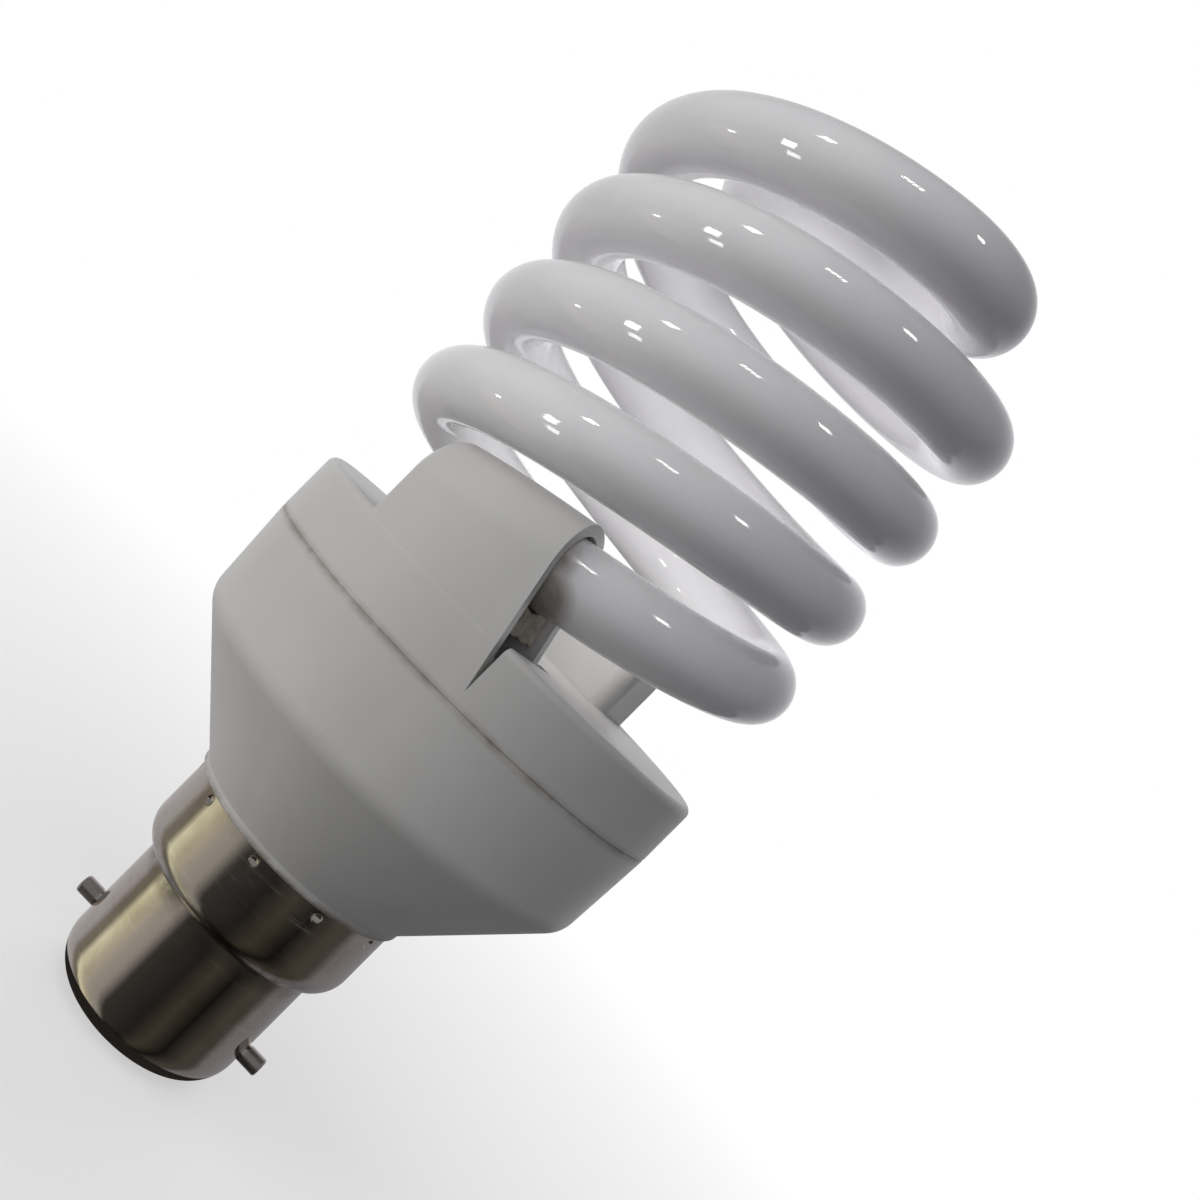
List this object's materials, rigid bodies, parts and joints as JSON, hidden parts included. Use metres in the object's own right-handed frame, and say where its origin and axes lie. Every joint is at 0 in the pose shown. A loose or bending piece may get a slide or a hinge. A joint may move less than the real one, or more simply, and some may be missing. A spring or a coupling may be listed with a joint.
{
  "type": "spiral energy saving bulb",
  "caption": "Spiral energy saving lamp: a white glass tube wound as a spiral on an off-white ballast housing with a plated bayonet cap.",
  "frame": {"origin": "on the lamp's axis, in the plane of the bayonet pins", "axes": "+Z along the axis towards the glass spiral, +X along the right bayonet pin, -Y is the front seen in the picture"},
  "size_m": [0.0538, 0.052, 0.116],
  "materials": {
    "white_glass": "glossy, white from the powder inside",
    "housing_plastic": "fine satin, aged off-white",
    "plated_cap": "nickel plated, worn",
    "black_insulator": "smooth black",
    "solder_contact": "dull solder",
    "tube_cement": "rough, brownish",
    "board_laminate": "plain laminate",
    "capacitor_sleeve": "shrunk sleeve",
    "ferrite": "matt dark grey",
    "bobbin_plastic": "plain",
    "copper_wire": "lacquered copper",
    "black_moulding": "plain",
    "film_coating": "dipped",
    "resistor_lacquer": "lacquered",
    "glass_diode": "small glass body",
    "tinned_wire": "tinned",
    "lead_sleeve": "white sleeve"
  },
  "bodies": {
    "root": {"cap_shell": "plated_cap", "bayonet_pin_left": "plated_cap", "bayonet_pin_right": "plated_cap", "cap_insulator": "black_insulator", "contact_front": "solder_contact", "contact_back": "solder_contact", "mains_lead_front": "lead_sleeve", "mains_lead_back": "lead_sleeve", "lower_housing": "housing_plastic", "upper_housing": "housing_plastic", "spiral_tube": "white_glass", "tube_cement_front": "tube_cement", "tube_cement_back": "tube_cement", "circuit_board": "board_laminate", "bulk_capacitor": "capacitor_sleeve", "choke_core": "ferrite", "choke_bobbin": "bobbin_plastic", "choke_winding": "copper_wire", "drive_core": "ferrite", "drive_windings": "copper_wire", "transistor_high": "black_moulding", "transistor_low": "black_moulding", "resonant_capacitor": "film_coating", "start_capacitor": "film_coating", "coupling_capacitor": "film_coating", "rectifier_diodes": "black_moulding", "base_resistors": "resistor_lacquer", "trigger_diode": "glass_diode", "fuse_resistor": "resistor_lacquer", "tube_lead_front_inner": "tinned_wire", "tube_lead_front_outer": "tinned_wire", "tube_lead_back_inner": "tinned_wire", "tube_lead_back_outer": "tinned_wire", "wrap_posts": "tinned_wire"}
  },
  "joints": []
}
